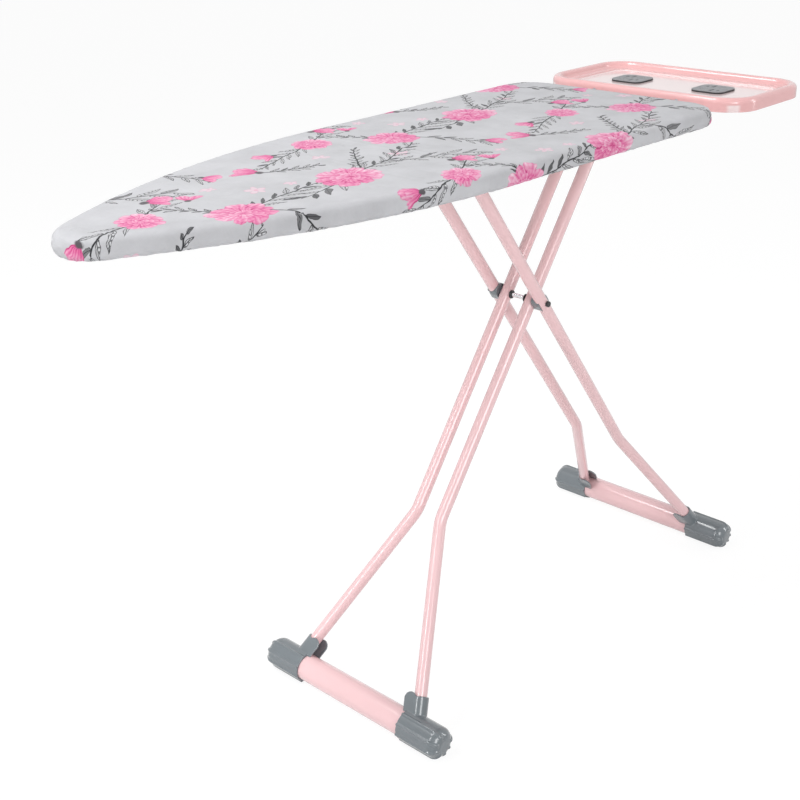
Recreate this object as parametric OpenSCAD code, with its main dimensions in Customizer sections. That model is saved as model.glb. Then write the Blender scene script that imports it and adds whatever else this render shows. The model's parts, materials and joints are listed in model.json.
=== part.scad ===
// Folding ironing board: a padded board on two pairs of crossed, splayed tube
// legs. The inner pair hinges under the heel end of the board. The outer pair
// carries a bar whose carriage slides on a guide rod, where a clamp plate holds
// it at any height. An iron rest of pressed sheet stands behind the heel.
//
// +X runs from the nose to the heel, +Y to the left side, +Z up. The origin is
// on the floor, under the middle of the overall length.

/* [Board] */
// Length of the board from nose to heel, over the cover
board_len = 1188; // [1100:4:1300]
// Width of the board at the heel, over the cover
heel_w = 448; // [400:2:480]
// Angle by which each long side narrows from the heel forward
side_taper = 1.4; // [0.5:0.1:2.5]
// Radius of the rounded nose tip
nose_r = 55; // [45:1:70]
// Radius of the long curve between the nose and the straight side
flank_r = 1230; // [1000:10:1500]
// Radius of the two heel corners
heel_corner_r = 68; // [50:1:80]
// Thickness of the cover cloth
cover_t = 1.1; // [0.8:0.1:2]
// Depth of the covered edge below the rim tube
edge_depth = 1.3; // [-0.7:1:11.3]
// Width of the hem that is turned in under the rim
hem_w = 30; // [25:1:45]
// Thickness of the felt pad
pad_t = 6; // [4:0.5:10]

/* [Board frame] */
// Diameter of the rim tube
rim_d = 20; // [16:1:22]
// Wall of all bent tubes
tube_wall = 1.2; // [1:0.1:2]
// Thickness of the perforated deck sheet
deck_t = 1.2; // [0.8:0.1:2]
// Length of one diamond opening in the deck
diamond_len = 50; // [40:1:60]
// Width of one diamond opening in the deck
diamond_w = 20; // [14:1:26]
// Strip of sheet left between diamonds
strand_w = 7; // [5:0.5:10]
// Width of a cross rail, along the board
rail_w = 25; // [20:1:32]
// Height of a cross rail
rail_h = 12; // [10:1:15]

/* [Legs] */
// Angle of the legs above the floor
stand_angle = 53.9; // [50:0.1:56]
// Smallest angle of the legs, when the board is folded flat
folded_angle = 3; // [3:0.5:10]
// Distance from the centre axle up to each top pivot
leg_upper = 333; // [315:1:345]
// Distance from the centre axle down to each foot axis
leg_lower = 759; // [720:1:800]
// Diameter of the leg tubes
leg_d = 22; // [19:1:23]
// Half the spacing of the two inner legs above their bend
inner_half = 27.8; // [26:0.2:29]
// Clear gap between an inner leg and an outer leg
leg_gap = 2.4; // [2:0.1:5]
// Distance from the axle down to the bend of the inner legs
inner_bend = 423; // [380:1:460]
// Distance from the axle down to the bend of the outer legs
outer_bend = 454; // [400:1:500]
// Half the spacing of each pair of legs at the foot axis
foot_half = 147; // [130:1:160]
// Centre-line radius of the bend in a leg
bend_r = 70; // [50:1:120]
// Depth of the top pivots below the underside of the deck
pivot_depth = 41.4; // [39.4:0.5:51.4]

/* [Feet] */
// Diameter of the foot tubes
foot_d = 48; // [42:1:50]
// Overall length of the front foot, over its caps
front_foot_len = 418; // [390:2:460]
// Overall length of the rear foot, over its caps
rear_foot_len = 440; // [400:2:470]
// Wall of a foot cap
cap_wall = 3; // [2.5:0.1:3.5]
// Length of a foot cap along the foot
cap_len = 88; // [80:1:96]
// Rounding of the closed end of a foot cap
cap_round = 18; // [14:1:20]
// Radius of one rib bead on a foot cap
rib_r = 3; // [2:0.1:3.4]
// Angle between neighbouring ribs
rib_pitch = 42; // [38:1:44]
// Height of the collar above the foot axis, along the leg
collar_h = 62; // [54:1:68]
// Reach of the collar's wings, from the leg's axis towards the middle
wing_reach = 24; // [18:1:27]

/* [Centre pivot] */
// Diameter of the axle
axle_d = 8; // [6:1:10]
// Length of a leg saddle along its leg
saddle_len = 34; // [30:1:50]
// Width of a leg saddle, over the diameter of its leg
saddle_w = 4; // [3:1:12]

/* [Height lock] */
// Diameter of the top bar and of the top sleeve
top_bar_d = 14; // [12:1:16]
// Diameter of the hinge pin
hinge_pin_d = 8; // [6:1:9]
// Diameter of the guide rod
guide_d = 12; // [10:1:14]
// Wall of the carriage round its two bores
carriage_wall = 4; // [3.5:0.5:6]
// Length of the carriage along the guide rod
carriage_len = 44; // [40:1:56]
// Width of the carriage
carriage_w = 28; // [26:1:30]
// Thickness of bracket sheet
bracket_t = 2.5; // [2:0.5:3]
// Thickness of the clamp plate
plate_t = 3; // [2.5:0.5:4]
// Angle by which the clamp plate leans when it grips
plate_lean = 10; // [8:1:12]
// Diameter of the lever rod
lever_d = 8; // [6:1:8]
// Distance from the middle of the board out to the lever's grip
lever_reach = 126; // [110:2:134]
// Length of the lever's crank
crank_len = 56; // [50:1:60]

/* [Iron rest] */
// Clear distance between the heel and the iron rest
rest_gap = 50; // [40:1:70]
// Length of the iron rest, along the board
rest_len = 260; // [240:1:280]
// Width of the iron rest
rest_w = 444; // [420:2:460]
// Depth of its outer wall
rest_depth = 24; // [22:1:26]
// Radius of its corners
rest_corner_r = 64; // [60:1:80]
// Thickness of its sheet
rest_t = 1.2; // [1:0.1:2]
// Radius of its rounded crest
crest_r = 9; // [7:0.5:10]
// Depth of the floor's border below the crest
border_depth = 12; // [11:0.5:13]
// Depth of the floor below its border
floor_step = 1.5; // [1:0.1:2]
// Width of the border between the inner wall and the floor
border_w = 18; // [14:1:24]
// Half the spacing of the two pads and of the arms under them
pad_half = 91; // [75:1:105]
// Length of a side of one pad
pad_side = 68; // [60:1:76]
// Thickness of one pad
pad_h = 4; // [4:0.5:7]
// Width of a support arm
arm_w = 20; // [16:1:24]
// Thickness of a support arm
arm_t = 4; // [3:0.5:5]

/* [Fits] */
// Radial clearance of a pin or bar in its bore
running = 0.06; // [0.04:0.01:0.1]
// Gap between pieces that only lie against each other
loose = 0.3; // [0.2:0.05:0.4]
// Smoothness of round shapes
facets = 64; // [32:4:96]

/* [Hidden] */
$fn = facets;

pink = "#eeb9bf";
grey = "#8d9499";
steel = "#c9ccd0";
dark = "#3a3a3d";

// Joints of flat shapes and of bent bars, and the least gap of a weld
hair = 0.02;
step = 0.05;
run_on = 0.5;
weld = 0.1;

// Feet and legs
leg_r = leg_d / 2;
foot_r = foot_d / 2;
cap_r = foot_r + cap_wall;
foot_z = cap_r + 1;
outer_half = inner_half + leg_d + leg_gap;
pivot_z = foot_z + leg_lower * sin(stand_angle);
top_z = pivot_z + leg_upper * sin(stand_angle);
top_dx = leg_upper * cos(stand_angle);
leg_over = 14;
plug_t = 2;
foot_wall = 1.5;
rib_sunk = 0.7;
rib_turn = 62;
axle_r = axle_d / 2;
axle_half = outer_half + leg_r + 4;
button_r = 1.2;
saddle_across = leg_d + saddle_w;

// Stack of the board, from the deck
deck_z = top_z + pivot_depth;
pad_z = deck_z + deck_t + loose;
face_z = pad_z + pad_t + cover_t;
rim_r = rim_d / 2;
rim_z = deck_z - weld - rim_r;
rail_z = deck_z - rail_h;
hem_z = rim_z - rim_r - edge_depth;

// Places along the board
overall_len = board_len + rest_gap + rest_len;
nose_x = -overall_len / 2;
heel_x = nose_x + board_len;
pivot_x = nose_x + 895;
hinge_x = pivot_x + top_dx;
bar_x = pivot_x - top_dx;
bar_travel = 2 * leg_upper * (cos(folded_angle) - cos(stand_angle));

// Insets of the layers from the outside of the cover
pad_inset = cover_t + loose;
rim_inset = cover_t + loose + rim_r;
deck_inset = 5;
rail_inset = rim_inset + rim_r;

// Height lock
top_bar_r = top_bar_d / 2;
guide_r = guide_d / 2;
guide_z = top_z + top_bar_r + carriage_wall + guide_r;
lever_r = lever_d / 2;
hub_r = lever_r + 2.5;
lever_z = guide_z - guide_r - 1 - hub_r;
cheek_x = -carriage_len / 2 - 8;
cheek_r = lever_r + 4;
lever_x = bar_x + cheek_x;
plate_bore_r = (guide_r + running + plate_t / 2 * sin(plate_lean))
    / cos(plate_lean);
plate_w = 2 * plate_bore_r + 6;
buffer_len = 10;
clip_t = 2;
rear_ear_x = bar_x + carriage_len / 2 + loose + buffer_len;
front_ear_x = bar_x - bar_travel + cheek_x - cheek_r - loose - buffer_len;
ear_r = guide_r + 5;
ear_half = inner_half + leg_r + 7.5;
rivet_r = 2.5;
head_r = 4.5;
head_h = 1.6;

// Iron rest
rest_x = heel_x + rest_gap;
crest_z = face_z;
border_z = crest_z - border_depth;
floor_z = border_z - floor_step;
rest_mid = rest_x + rest_len / 2;
wall_run = 5;
floor_inset = 2 * crest_r + wall_run + border_w + floor_step;
arm_rivet_x = [rest_mid - 18, rest_mid + 18];
arm_end_x = rest_mid + 40;
arm_low_z = hem_z - loose - 0.5;
arm_top_z = floor_z - rest_t;
tab_t = 2;
wall_rivet_z = crest_z - crest_r - 5;

// ---------------------------------------------------------------- outlines

// Centre of the long flank curve, for an outline that lies inside by d
function flank_centre(d) =
    let (along = [cos(side_taper), sin(side_taper)],
         inward = [sin(side_taper), -cos(side_taper)],
         from = [board_len, heel_w / 2] + flank_r * inward,
         q = from - [nose_r, 0],
         b = q * along,
         s = -b + sqrt(b * b - q * q + pow(flank_r - nose_r, 2)))
    from + s * along;

// Where the flank meets the nose, and where it meets the straight side
function nose_touch(d) =
    let (c = flank_centre(d), u = [nose_r, 0] - c)
    c + (flank_r - d) * u / norm(u);
function side_touch(d) =
    flank_centre(d) + (flank_r - d) * [-sin(side_taper), cos(side_taper)];

// Centre of the left heel corner: the same for every inset
function corner_centre() =
    [board_len - heel_corner_r,
     heel_w / 2 - heel_corner_r * tan(side_taper)
        - heel_corner_r / cos(side_taper)];
function corner_touch(d) =
    corner_centre() + (heel_corner_r - d)
        * [-sin(side_taper), cos(side_taper)];

// Outline of the board in its own plane, nose at the origin, inside by d. Each
// shape ends inside its neighbour, a hair apart where the two are tangent.
module board_outline(d = 0) {
    c = flank_centre(d);
    n = nose_touch(d);
    s = side_touch(d + 2 * hair);
    k = corner_centre();
    t = corner_touch(d + 2 * hair);
    heel = board_len - d - hair;
    translate([nose_r, 0]) circle(nose_r - d);
    intersection() {
        translate([c[0], c[1]]) circle(flank_r - d - hair, $fn = 360);
        translate([c[0], -c[1]]) circle(flank_r - d - hair, $fn = 360);
        translate([n[0], -heel_w]) square([s[0] + 40 - n[0], 2 * heel_w]);
    }
    polygon([[nose_r, 0], [s[0], -s[1]], [t[0], -t[1]], [k[0], -k[1]],
        [heel, -k[1]], [heel, k[1]], k, t, s]);
    for (side = [-1, 1])
        translate([k[0], side * k[1]]) circle(heel_corner_r - d);
}

// A flat layer of the board between two heights
module board_layer(d, z0, z1) {
    translate([nose_x, 0, z0])
        linear_extrude(z1 - z0) board_outline(d);
}

// A round bar of radius r that follows the outline, d inside it. The flanks and
// the heel corners are drawn a touch thinner and run into their neighbours.
module outline_bar(d, r) {
    c = flank_centre(d);
    n = nose_touch(d);
    s = side_touch(d);
    k = corner_centre();
    t = corner_touch(d);
    nose_a = atan2(n[1], n[0] - nose_r);
    flank_a = atan2(n[1] - c[1], n[0] - c[0]);
    translate([nose_r, 0, 0]) rotate([0, 0, nose_a])
        rotate_extrude(angle = 360 - 2 * nose_a)
            translate([nose_r - d, 0]) circle(r);
    for (side = [0, 1]) mirror([0, side, 0]) {
        arc_bar(c, flank_r - d, 90 + side_taper, flank_a, r - step);
        bar_between(s, t, r);
        arc_bar(k, heel_corner_r - d, 0, 90 + side_taper, r - step);
    }
    bar_between([board_len - d, -k[1]], [board_len - d, k[1]], r);
}

// A round bar along an arc, run on at both ends
module arc_bar(centre, r_arc, from, to, r) {
    more = run_on / r_arc * 180 / PI;
    translate(centre) rotate([0, 0, from - more])
        rotate_extrude(angle = to - from + 2 * more)
            translate([r_arc, 0]) circle(r);
}

// A round bar from one point to another in a flat plane
module bar_between(a, b, r) {
    v = b - a;
    translate(a) rotate([0, 0, atan2(v[1], v[0])]) rotate([0, 90, 0])
        cylinder(h = norm(v), r = r);
}

// A cylinder along Y, centred on the XZ plane
module y_rod(r, len) {
    rotate([90, 0, 0]) cylinder(h = len, r = r, center = true);
}

// A cylinder along X, from x0 to x1
module x_rod(r, x0, x1) {
    translate([x0, 0, 0]) rotate([0, 90, 0]) cylinder(h = x1 - x0, r = r);
}

// A flat ring round the Y axis, from y0 to y1
module y_ring(r_out, r_in, y0, y1) {
    translate([0, y1, 0]) rotate([90, 0, 0]) difference() {
        cylinder(h = y1 - y0, r = r_out);
        translate([0, 0, -1]) cylinder(h = y1 - y0 + 2, r = r_in);
    }
}

// Both sides of a piece
module both() {
    children();
    mirror([0, 1, 0]) children();
}

// ------------------------------------------------------------------- board

module cover() {
    color("#cdd0d4") difference() {
        board_layer(0, hem_z, face_z);
        board_layer(cover_t, hem_z + cover_t, face_z - cover_t);
        board_layer(hem_w, hem_z - 1, hem_z + cover_t + 1);
    }
}

module felt_pad() {
    color("#e9e6df")
        board_layer(pad_inset, pad_z, pad_z + pad_t - loose);
}

// Staggered diamond openings that lie wholly inside the field of the deck
module diamonds() {
    px = diamond_len + 2 * strand_w;
    py = diamond_w + strand_w * 1.7;
    cols = ceil(board_len / px);
    rows = ceil(heel_w / py / 2);
    for (i = [0 : 2 * cols], j = [-rows : rows]) {
        x = (i + 1) * px / 2;
        y = (j + (i % 2) / 2) * py;
        if (in_field(x, abs(y)))
            translate([x, y]) polygon([[-diamond_len / 2, 0],
                [0, -diamond_w / 2], [diamond_len / 2, 0], [0, diamond_w / 2]]);
    }
}

// Half width of the board at a distance x from the nose
function half_width(x) =
    let (c = flank_centre(0), s = side_touch(0), k = corner_centre(),
         t = corner_touch(0))
    x < nose_touch(0)[0] ? sqrt(max(0, pow(nose_r, 2) - pow(x - nose_r, 2)))
    : x < s[0] ? c[1] + sqrt(pow(flank_r, 2) - pow(x - c[0], 2))
    : x < t[0] ? s[1] + (x - s[0]) * tan(side_taper)
    : k[1] + sqrt(max(0, pow(heel_corner_r, 2) - pow(x - k[0], 2)));

// True where a diamond clears the rim and the rails that cross the board
function in_field(x, y) =
    let (keep = rail_inset + diamond_w / 2,
         rails = [for (r = rail_centres()) r - nose_x])
    x - diamond_len / 2 > rail_inset && x + diamond_len / 2 < board_len - rail_inset
    && y < min(half_width(x - diamond_len / 2), half_width(x + diamond_len / 2))
        - keep
    && len([for (r = rails)
        if (abs(x - r) < (rail_w + diamond_len) / 2 + 2) r]) == 0;

// Middles of the three cross rails, along the board
function rail_centres() = [front_rail_x, middle_rail_x, hinge_x];
front_rail_x = front_ear_x - bracket_t - rail_w / 2;
middle_rail_x = rear_ear_x + bracket_t + rail_w / 2;

module deck() {
    color(steel) translate([nose_x, 0, deck_z]) linear_extrude(deck_t)
        difference() {
            board_outline(deck_inset);
            diamonds();
        }
}

module rim_tube() {
    color(pink) translate([nose_x, 0, rim_z]) difference() {
        outline_bar(rim_inset, rim_r);
        outline_bar(rim_inset, rim_r - tube_wall);
    }
}

// A rectangular tube across the board, shaped to the inside of the rim
module cross_rail(x, rivets_y) {
    color(pink) difference() {
        intersection() {
            translate([x - rail_w / 2, -heel_w, rail_z])
                cube([rail_w, 2 * heel_w, rail_h]);
            board_layer(rail_inset, rail_z - 1, deck_z + 1);
        }
        translate([x - rail_w / 2 + tube_wall, -heel_w, rail_z + tube_wall])
            cube([rail_w - 2 * tube_wall, 2 * heel_w,
                rail_h - 2 * tube_wall]);
        for (y = rivets_y)
            translate([x, y, rail_z - 1])
                cylinder(h = tube_wall + 2, r = rivet_r + running);
    }
}

bracket_rivet_y = [-ear_half + 14, ear_half - 14];
rod_rivet_y = [-9, 9];

module front_rail() { cross_rail(front_rail_x, rod_rivet_y); }
module middle_rail() { cross_rail(middle_rail_x, rod_rivet_y); }
module hinge_rail() { cross_rail(hinge_x, bracket_rivet_y); }

// Rivet driven from below through a bracket into the wall of a rail
module rivet(x, y) {
    translate([x, y, rail_z - bracket_t - head_h])
        cylinder(h = head_h, r1 = head_r - 1, r2 = head_r);
    translate([x, y, rail_z - bracket_t])
        cylinder(h = bracket_t + tube_wall, r = rivet_r);
    translate([x, y, rail_z + tube_wall])
        cylinder(h = head_h, r = head_r - 1);
}

module bracket_rivets() {
    color(steel) {
        for (x = [front_rail_x, middle_rail_x], y = rod_rivet_y) rivet(x, y);
        for (y = bracket_rivet_y) rivet(hinge_x, y);
    }
}

module rivet_holes(x, ys) {
    for (y = ys)
        translate([x, y, rail_z - bracket_t - 1])
            cylinder(h = bracket_t + 2, r = rivet_r + running);
}

// Channel with two ears that hold the hinge pin of the inner legs
module hinge_bracket() {
    ear_x = hinge_pin_d / 2 + 9;
    color(steel) difference() {
        union() {
            translate([hinge_x - ear_x, -ear_half, rail_z - bracket_t])
                cube([2 * ear_x, 2 * ear_half, bracket_t]);
            both() translate([hinge_x, ear_half, top_z]) rotate([90, 0, 0])
                linear_extrude(bracket_t) {
                    circle(ear_x);
                    translate([-ear_x, 0])
                        square([2 * ear_x, rail_z - top_z]);
                }
        }
        translate([hinge_x, 0, top_z])
            y_rod(hinge_pin_d / 2 + running, 3 * ear_half);
        rivet_holes(hinge_x, bracket_rivet_y);
    }
}

// Pin with a formed head outside each ear
module hinge_pin() {
    color(steel) translate([hinge_x, 0, top_z]) {
        y_rod(hinge_pin_d / 2, 2 * ear_half + 1);
        both() translate([0, ear_half + loose / 2, 0]) rotate([-90, 0, 0])
            cylinder(h = 3, r1 = hinge_pin_d / 2 + 3, r2 = hinge_pin_d / 2 + 1);
    }
}

// Angle bracket that carries one end of the guide rod. dir is the side of the
// ear on which the foot of the bracket lies.
module rod_bracket(ear_x, rail_x, dir) {
    w = 2 * (ear_r + 5);
    x0 = dir > 0 ? ear_x : ear_x - bracket_t;
    foot_x = dir > 0 ? ear_x : rail_x - rail_w / 2;
    foot_len = rail_w + bracket_t;
    color(steel) difference() {
        union() {
            translate([foot_x, -w / 2, rail_z - bracket_t])
                cube([foot_len, w, bracket_t]);
            translate([x0, 0, guide_z]) rotate([90, 0, 90])
                linear_extrude(bracket_t) {
                    circle(ear_r);
                    translate([-ear_r, 0])
                        square([2 * ear_r, rail_z - guide_z]);
                }
        }
        translate([0, 0, guide_z])
            x_rod(guide_r + running, x0 - 1, x0 + bracket_t + 1);
        rivet_holes(rail_x, rod_rivet_y);
    }
}

module front_rod_bracket() { rod_bracket(front_ear_x, front_rail_x, -1); }
module rear_rod_bracket() { rod_bracket(rear_ear_x, middle_rail_x, 1); }

module guide_rod() {
    over = bracket_t + clip_t + 2.5;
    color(steel) translate([0, 0, guide_z])
        x_rod(guide_r, front_ear_x - over, rear_ear_x + over);
}

// Rubber rings that cushion the carriage at both ends of its travel
module rod_buffers() {
    color(dark) for (x = [front_ear_x, rear_ear_x - buffer_len])
        translate([x, 0, guide_z]) difference() {
            x_rod(guide_r + 3, 0, buffer_len);
            x_rod(guide_r + running, -1, buffer_len + 1);
        }
}

// Push-on clips that keep the guide rod in its brackets
module rod_clips() {
    color(dark)
        for (x = [front_ear_x - bracket_t - clip_t, rear_ear_x + bracket_t])
            translate([x, 0, guide_z]) difference() {
                x_rod(guide_r + 4, 0, clip_t);
                x_rod(guide_r + running, -1, clip_t + 1);
            }
}

// --------------------------------------------------------------- iron rest

// Section of the pressed sheet: outer wall, crest, inner wall and border.
// u runs inwards from the outer face, v down from the crest is negative.
function crest_arc(r, from, to) =
    [for (i = [0 : 10]) let (a = from + (to - from) * i / 10)
        [crest_r + r * cos(a), -crest_r + r * sin(a)]];

module rest_section() {
    slope = atan2(border_depth - crest_r, wall_run);
    face = concat([[0, -rest_depth]], crest_arc(crest_r, 180, 10),
        [[2 * crest_r + wall_run, -border_depth],
         [floor_inset - floor_step, -border_depth],
         [floor_inset, -border_depth - floor_step]]);
    back = concat([[floor_inset, -border_depth - floor_step - rest_t],
         [floor_inset - floor_step - rest_t * 0.4, -border_depth - rest_t],
         [2 * crest_r + wall_run - rest_t * tan(slope / 2),
            -border_depth - rest_t]],
        crest_arc(crest_r - rest_t, 10, 180), [[rest_t, -rest_depth]]);
    polygon(concat(face, back));
    translate([rest_t, -rest_depth]) circle(rest_t);
}

// Carries the section round the four sides of the rest
module rest_ring() {
    r = rest_corner_r;
    for (m = [0, 1], n = [0, 1])
        translate([rest_mid, 0, crest_z]) mirror([m, 0, 0]) mirror([0, n, 0])
            translate([rest_len / 2 - r, rest_w / 2 - r, 0])
                rotate_extrude(angle = 90) translate([r, 0])
                    mirror([1, 0]) rest_section();
    for (a = [0, 180]) translate([rest_mid, 0, crest_z]) rotate([0, 0, a]) {
        translate([rest_len / 2, rest_w / 2 - r, 0]) rotate([90, 0, 0])
            linear_extrude(rest_w - 2 * r) mirror([1, 0]) rest_section();
        translate([rest_len / 2 - r, rest_w / 2, 0]) rotate([0, 0, 90])
            rotate([90, 0, 0]) translate([0, 0, -(rest_len - 2 * r)])
                linear_extrude(rest_len - 2 * r)
                    mirror([1, 0]) rest_section();
    }
}

// Rounded rectangle centred on the origin
module round_rect(len, wid, r) {
    square([len - 2 * r, wid], center = true);
    square([len, wid - 2 * r], center = true);
    for (x = [-1, 1], y = [-1, 1])
        translate([x * (len / 2 - r), y * (wid / 2 - r)]) circle(r);
}

module iron_rest() {
    color(pink) difference() {
        union() {
            rest_ring();
            translate([rest_mid, 0, floor_z - rest_t])
                linear_extrude(rest_t)
                    round_rect(rest_len - 2 * floor_inset,
                        rest_w - 2 * floor_inset,
                        rest_corner_r - floor_inset);
        }
        for (y = [-pad_half, pad_half]) {
            for (x = arm_rivet_x)
                translate([x, y, floor_z - rest_t - 1])
                    cylinder(h = rest_t + 2, r = rivet_r + running);
            translate([0, y, wall_rivet_z])
                x_rod(rivet_r + running, rest_x - 1, rest_x + rest_t + 1);
            translate([rest_x + rest_t, y - arm_w / 2 - loose,
                crest_z - rest_depth - 3 * rest_t])
                cube([3 * rest_t, arm_w + 2 * loose, 6 * rest_t]);
        }
    }
}

// Bent flat bar from the hinge rail, under the heel, up to the rest's floor,
// with a tab behind the front wall of the rest
module rest_arm(y) {
    x0 = hinge_x + rail_w / 2;
    x1 = rest_x + rest_t + tab_t + 5;
    x2 = x1 + arm_top_z - arm_low_z;
    x3 = arm_end_x;
    shift = arm_t * tan(22.5);
    color(pink) difference() {
        translate([0, y + arm_w / 2, 0]) rotate([90, 0, 0])
            linear_extrude(arm_w) {
                polygon([[x0, deck_z], [x0, arm_low_z - arm_t],
                    [x1, arm_low_z - arm_t], [x2, arm_top_z - arm_t],
                    [x3, arm_top_z - arm_t], [x3, arm_top_z],
                    [x2 - shift, arm_top_z], [x1 - shift, arm_low_z],
                    [x0 + arm_t, arm_low_z], [x0 + arm_t, deck_z]]);
                translate([rest_x + rest_t, arm_low_z - 1])
                    square([tab_t, wall_rivet_z + 6 - arm_low_z]);
            }
        for (x = arm_rivet_x)
            translate([x, y, arm_top_z - arm_t - 1])
                cylinder(h = arm_t + 2, r = rivet_r + running);
        translate([0, y, wall_rivet_z])
            x_rod(rivet_r + running, rest_x, rest_x + 2 * tab_t + 1);
    }
}

module left_rest_arm() { rest_arm(pad_half); }
module right_rest_arm() { rest_arm(-pad_half); }

// Rivets through the floor, hidden by the pads, and through the front wall
module rest_rivets() {
    color(steel) for (y = [-pad_half, pad_half]) {
        for (x = arm_rivet_x) translate([x, y, 0]) {
            translate([0, 0, floor_z]) cylinder(h = head_h, r = head_r);
            translate([0, 0, floor_z - rest_t - arm_t])
                cylinder(h = rest_t + arm_t, r = rivet_r);
            translate([0, 0, floor_z - rest_t - arm_t - head_h])
                cylinder(h = head_h, r = head_r - 1);
        }
        translate([0, y, wall_rivet_z]) {
            x_rod(head_r - 1, rest_x - 1.2, rest_x);
            x_rod(rivet_r, rest_x, rest_x + rest_t + tab_t);
            x_rod(head_r - 1, rest_x + rest_t + tab_t,
                rest_x + rest_t + tab_t + 1.2);
        }
    }
}

// Soft pad with relief grooves, hollowed underneath over the rivet heads
module rest_pad(y) {
    groove_w = 5;
    unit = pad_side / 9;
    color(grey) translate([rest_mid, y, floor_z]) difference() {
        linear_extrude(pad_h) round_rect(pad_side, pad_side, pad_side / 4);
        for (x = arm_rivet_x - [rest_mid, rest_mid])
            translate([x, 0, -1])
                cylinder(h = head_h + loose + 1, r = head_r + 1);
        for (a = [0 : 90 : 270]) rotate([0, 0, a])
            translate([0, 0, pad_h - 1.5]) {
                translate([1.2 * unit, 0.9 * unit, 0])
                    slot(groove_w, 2.1 * unit, 2);
                translate([1.2 * unit, 2.4 * unit, 0])
                    slot(groove_w, 0.9 * unit, 2);
            }
    }
}

// A cutter with round ends, from its first end along X
module slot(w, len, h) {
    linear_extrude(h) {
        circle(w / 2);
        translate([0, -w / 2]) square([len, w]);
        translate([len, 0]) circle(w / 2);
    }
}

module left_rest_pad() { rest_pad(pad_half); }
module right_rest_pad() { rest_pad(-pad_half); }

// -------------------------------------------------------------------- legs

// Frames that run down a leg: X along the leg from the axle to the foot
module inner_frame() {
    translate([pivot_x, 0, pivot_z])
        rotate([0, 180 - stand_angle, 0]) children();
}
module outer_frame() {
    translate([pivot_x, 0, pivot_z]) rotate([0, stand_angle, 0]) children();
}

// Splay of a leg below its bend
function splay(half, bend) = atan2(foot_half - half, leg_lower - bend);

// Bent round bar of radius r: straight, one bend, straight to the foot axis
module leg_bar(half, bend, r) {
    a = splay(half, bend);
    cut = bend_r * tan(a / 2);
    lower = (leg_lower - bend) / cos(a) - cut;
    translate([0, half, 0]) {
        x_rod(r, -leg_upper - leg_over, bend - cut);
        arc_bar([bend - cut, bend_r, 0], bend_r, -90, a - 90, r - step);
        translate([bend, 0, 0]) rotate([0, 0, a]) x_rod(r, cut, cut + lower);
    }
}

// One leg tube: bored for the axle and for its top bar, cut to the foot tube
module leg_tube(half, bend) {
    difference() {
        leg_bar(half, bend, leg_r);
        leg_bar(half, bend, leg_r - tube_wall);
        y_rod(axle_r + running, 4 * outer_half);
        translate([-leg_upper, 0, 0])
            y_rod(top_bar_r + running, 4 * outer_half);
        translate([leg_lower, 0, 0]) y_rod(foot_r, 4 * foot_half);
    }
}

module left_inner_leg() {
    color(pink) inner_frame() leg_tube(inner_half, inner_bend);
}
module right_inner_leg() {
    color(pink) inner_frame() mirror([0, 1, 0])
        leg_tube(inner_half, inner_bend);
}
module left_outer_leg() {
    color(pink) outer_frame() leg_tube(outer_half, outer_bend);
}
module right_outer_leg() {
    color(pink) outer_frame() mirror([0, 1, 0])
        leg_tube(outer_half, outer_bend);
}

// Push-in plugs that close the open tops of a pair of legs
module leg_plugs(half) {
    color(dark) both() translate([-leg_upper - leg_over, half, 0]) {
        x_rod(leg_r, -plug_t, 0);
        x_rod(leg_r - tube_wall - running, 0, leg_over - top_bar_r - plug_t);
    }
}

module inner_leg_plugs() { inner_frame() leg_plugs(inner_half); }
module outer_leg_plugs() { outer_frame() leg_plugs(outer_half); }

// Sleeve that joins the tops of the inner legs and turns on the hinge pin
module inner_top_sleeve() {
    reach = ear_half - bracket_t - loose;
    color(pink) inner_frame() translate([-leg_upper, 0, 0])
        y_ring(top_bar_r, hinge_pin_d / 2 + running, -reach, reach);
}

// Bar that joins the tops of the outer legs and turns in the carriage
module outer_top_bar() {
    color(pink) outer_frame() translate([-leg_upper, 0, 0])
        y_rod(top_bar_r, 2 * (outer_half + leg_r));
}

module foot_tube(len) {
    half = len / 2 - cap_round;
    color(pink) translate([leg_lower, 0, 0])
        y_ring(foot_r, foot_r - foot_wall, -half, half);
}

module front_foot_tube() { inner_frame() foot_tube(front_foot_len); }
module rear_foot_tube() { outer_frame() foot_tube(rear_foot_len); }

// Closed end of a foot cap as a half section: radius against height
module cap_section(len) {
    flat_r = cap_r - cap_round;
    square([cap_r, len - cap_round]);
    square([flat_r, len]);
    translate([flat_r, len - cap_round]) intersection() {
        circle(cap_round);
        square(cap_round);
    }
}

// One rib: a bead along the sleeve that turns over the closed end
module cap_rib(len) {
    translate([cap_r - rib_sunk, 0, 0])
        cylinder(h = len - cap_round + run_on, r = rib_r - step);
    translate([cap_r - cap_round, 0, len - cap_round]) rotate([90, 2, 0])
        rotate_extrude(angle = rib_turn + 2)
            translate([cap_round - rib_sunk, 0]) circle(rib_r);
    translate([cap_r - cap_round, 0, len - cap_round])
        rotate([0, -rib_turn, 0]) translate([cap_round - rib_sunk, 0, 0])
            sphere(rib_r + hair);
}

// Collar round the leg: a half sleeve with two wings, open to the middle.
// X points up the leg, Y outwards along the foot.
module collar() {
    r_in = leg_r + loose;
    r_out = r_in + cap_wall;
    intersection() {
        rotate([0, 90, 0]) linear_extrude(collar_h) difference() {
            union() {
                circle(r_out);
                translate([hair - r_out, -wing_reach])
                    square([2 * (r_out - hair), wing_reach]);
            }
            circle(r_in);
            translate([hair - r_in, -wing_reach - 1])
                square([2 * (r_in - hair), wing_reach + 1]);
        }
        translate([0, 0, -2 * r_out]) linear_extrude(4 * r_out)
            wing_profile(r_out);
    }
}

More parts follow.
